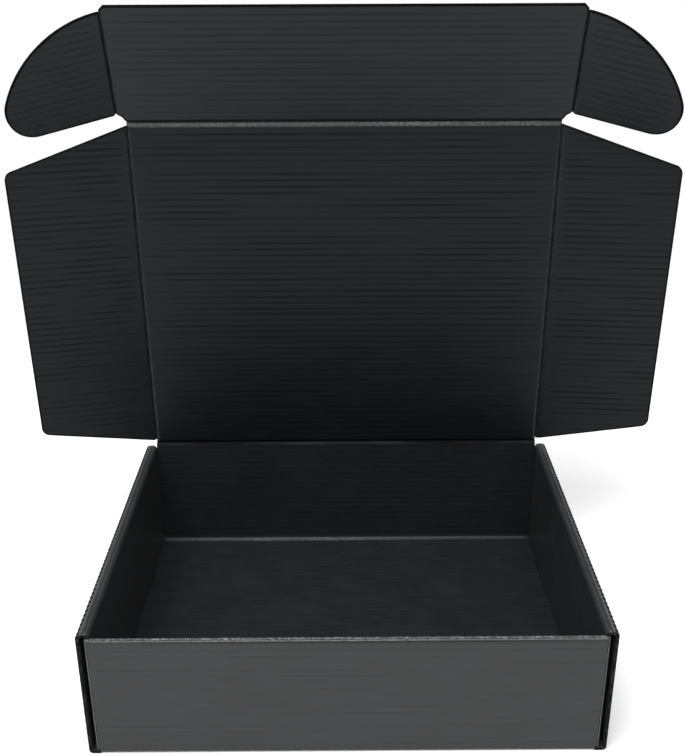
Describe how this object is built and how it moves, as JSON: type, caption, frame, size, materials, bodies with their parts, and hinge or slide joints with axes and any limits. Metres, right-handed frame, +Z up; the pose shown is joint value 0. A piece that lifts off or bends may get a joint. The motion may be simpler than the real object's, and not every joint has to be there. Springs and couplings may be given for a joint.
{
  "type": "corrugated mailer box",
  "caption": "Open corrugated mailer box with rolled side walls and a hinged lid that carries side flaps, a tuck flap and rounded ears.",
  "frame": {"origin": "middle of the base's underside, at floor level", "axes": "+X across the box to the right, +Y from the front wall to the lid's hinge, +Z up"},
  "size_m": [0.3552, 0.1886, 0.3171],
  "materials": {
    "board": "satin"
  },
  "bodies": {
    "tray": {"tray": "board"},
    "lid": {"lid": "board"},
    "tuck_flap": {"tuck_flap": "board"},
    "ear_left": {"ear_left": "board"},
    "ear_right": {"ear_right": "board"},
    "side_flap_left": {"side_flap_left": "board"},
    "side_flap_right": {"side_flap_right": "board"}
  },
  "joints": [
    {"name": "lid_hinge", "type": "hinge", "parent": "tray", "child": "lid", "pos_m": [0, 0.09425, 0.06875], "axis": [-1, 0, 0], "range_deg": [-87.2, 92.8]},
    {"name": "tuck_fold", "type": "hinge", "parent": "lid", "child": "tuck_flap", "pos_m": [0, 0.08495, 0.25882], "axis": [-1, 0, 0], "range_deg": [-71.9, 18.1]},
    {"name": "ear_left_fold", "type": "hinge", "parent": "tuck_flap", "child": "ear_left", "pos_m": [-0.1184, 0.08495, 0.25882], "axis": [0, 0.3567, -0.9342], "range_deg": [-60, 30]},
    {"name": "ear_right_fold", "type": "hinge", "parent": "tuck_flap", "child": "ear_right", "pos_m": [0.1184, 0.08495, 0.25882], "axis": [0, -0.3567, 0.9342], "range_deg": [-60, 30]},
    {"name": "side_flap_left_fold", "type": "hinge", "parent": "lid", "child": "side_flap_left", "pos_m": [-0.11365, 0.09425, 0.06875], "axis": [0, 0.0488, -0.9988], "range_deg": [-78, 12]},
    {"name": "side_flap_right_fold", "type": "hinge", "parent": "lid", "child": "side_flap_right", "pos_m": [0.11365, 0.09425, 0.06875], "axis": [0, -0.0488, 0.9988], "range_deg": [-84.8, 5.2]}
  ],
  "couplings": [
    {"joint": "ear_left_fold", "follows": "tuck_fold", "ratio": 0.8344},
    {"joint": "ear_right_fold", "follows": "tuck_fold", "ratio": 0.8344}
  ]
}
